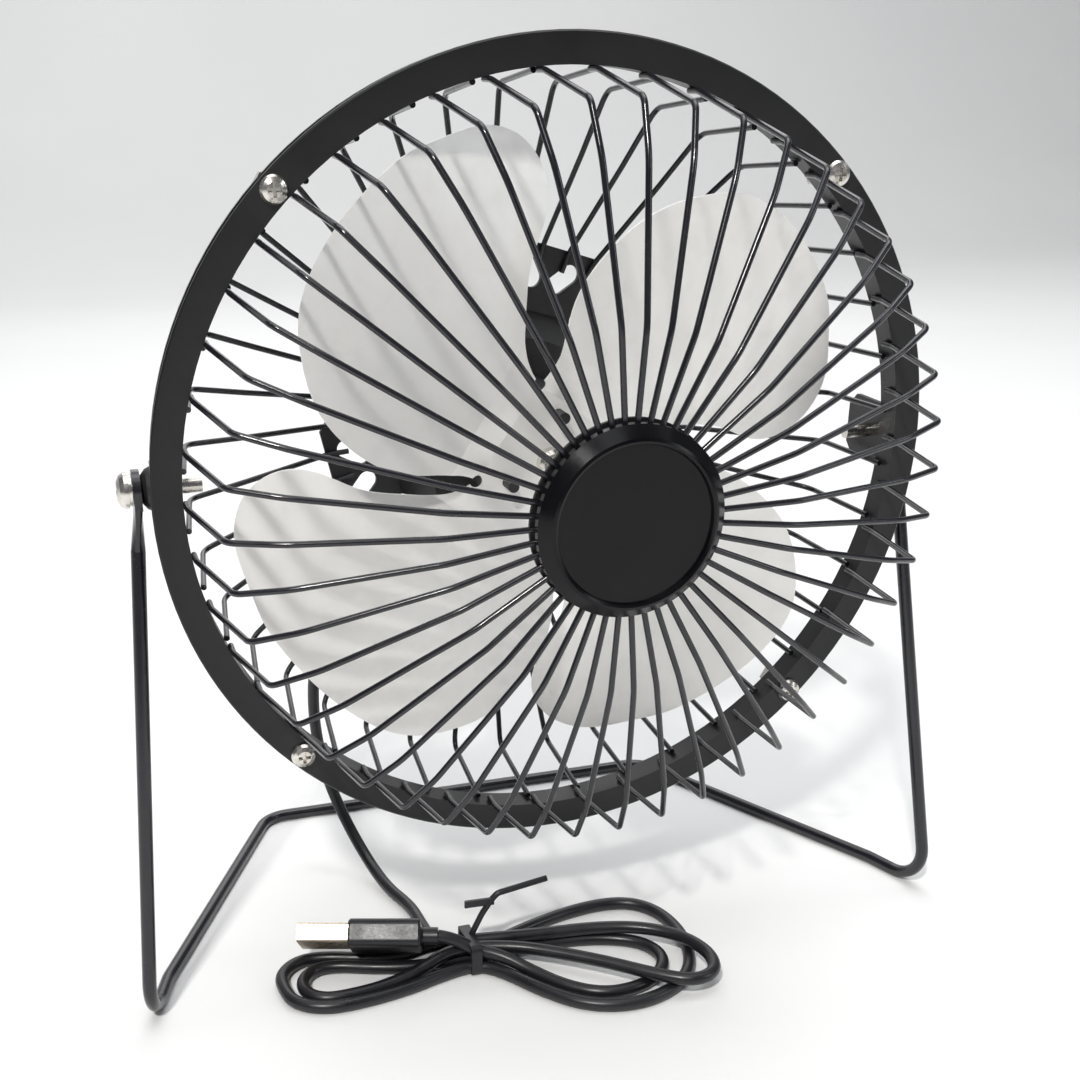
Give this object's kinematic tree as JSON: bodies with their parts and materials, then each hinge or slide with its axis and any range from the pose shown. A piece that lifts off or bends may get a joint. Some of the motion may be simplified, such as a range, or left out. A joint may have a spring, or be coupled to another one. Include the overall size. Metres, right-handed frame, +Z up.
{
  "type": "desk fan",
  "caption": "Small USB-powered metal desk fan: round wire guard with aluminium blades, tilting on a bent-rod stand, rear motor housing with a rocker switch, and a tied lead with a USB-A plug.",
  "frame": {"origin": "centre of the overall bounding box, on the table plane under the stand", "axes": "+Z up, front of the fan towards -Y, its width along X"},
  "size_m": [0.2048, 0.1316, 0.2112],
  "materials": {
    "black_gloss_steel": "gloss black enamel",
    "black_satin_steel": "satin black enamel",
    "white_silver_aluminium": "satin, pearl white",
    "nickel_steel": "bright nickel plate",
    "dark_steel": "blackened",
    "bright_steel": "ground",
    "black_plastic": "moulded, satin",
    "black_gloss_plastic": "polished",
    "black_pvc": "soft satin",
    "white_plastic": "moulded",
    "brass": "bright",
    "gold_contacts": "gold flash",
    "copper_winding": "enamelled copper wire",
    "ferrite": "ground ferrite"
  },
  "bodies": {
    "stand": {"stand_rod": "black_gloss_steel", "lead_cord": "black_pvc", "lead_hank": "black_pvc", "wire_tie": "black_pvc", "plug_relief": "black_pvc", "plug_grip": "black_pvc", "plug_shell": "nickel_steel", "plug_tongue": "white_plastic", "plug_contacts": "gold_contacts"},
    "head": {"front_ring": "black_satin_steel", "rear_ring": "black_satin_steel", "ring_spacers": "nickel_steel", "ring_screws": "nickel_steel", "ring_nuts": "nickel_steel", "front_guard_wires": "black_gloss_steel", "rear_guard_wires": "black_gloss_steel", "front_cap": "black_gloss_plastic", "cap_back_plate": "black_satin_steel", "cap_clamp_disc": "black_satin_steel", "cap_rivets": "nickel_steel", "pivot_ears": "black_satin_steel", "pivot_screws": "nickel_steel", "pivot_bushes": "black_plastic", "pivot_washers": "nickel_steel", "motor_bracket": "black_satin_steel", "motor_screws": "nickel_steel", "motor_can": "bright_steel", "motor_end_cap": "black_plastic", "front_bush": "brass", "rear_bush": "brass", "motor_magnets": "ferrite", "motor_brushes": "ferrite", "motor_terminals": "brass", "motor_leads": "black_pvc", "rear_plate": "black_satin_steel", "motor_cover": "black_plastic", "cover_screws": "nickel_steel", "switch_body": "black_plastic", "switch_terminals": "brass", "cord_strain_relief": "black_pvc"},
    "rotor": {"motor_shaft": "bright_steel", "rotor_core": "dark_steel", "rotor_windings": "copper_winding", "commutator": "copper_winding", "blade_hub": "black_plastic", "hub_collet": "nickel_steel", "fan_blades": "white_silver_aluminium"},
    "rocker": {"switch_rocker": "black_gloss_plastic"}
  },
  "joints": [
    {"name": "head_tilt", "type": "hinge", "parent": "stand", "child": "head", "pos_m": [0, -0.01024, 0.1218], "axis": [1, 0, 0], "range_deg": [-60, 30], "deforming": ["lead_cord"]},
    {"name": "blade_spin", "type": "hinge", "parent": "head", "child": "rotor", "pos_m": [0, -0.01024, 0.1218], "axis": [0, 0.9991, 0.0419], "continuous": true},
    {"name": "switch_rock", "type": "hinge", "parent": "head", "child": "rocker", "pos_m": [0, 0.0388, 0.12386], "axis": [1, 0, 0], "range_deg": [-16, 0]}
  ]
}
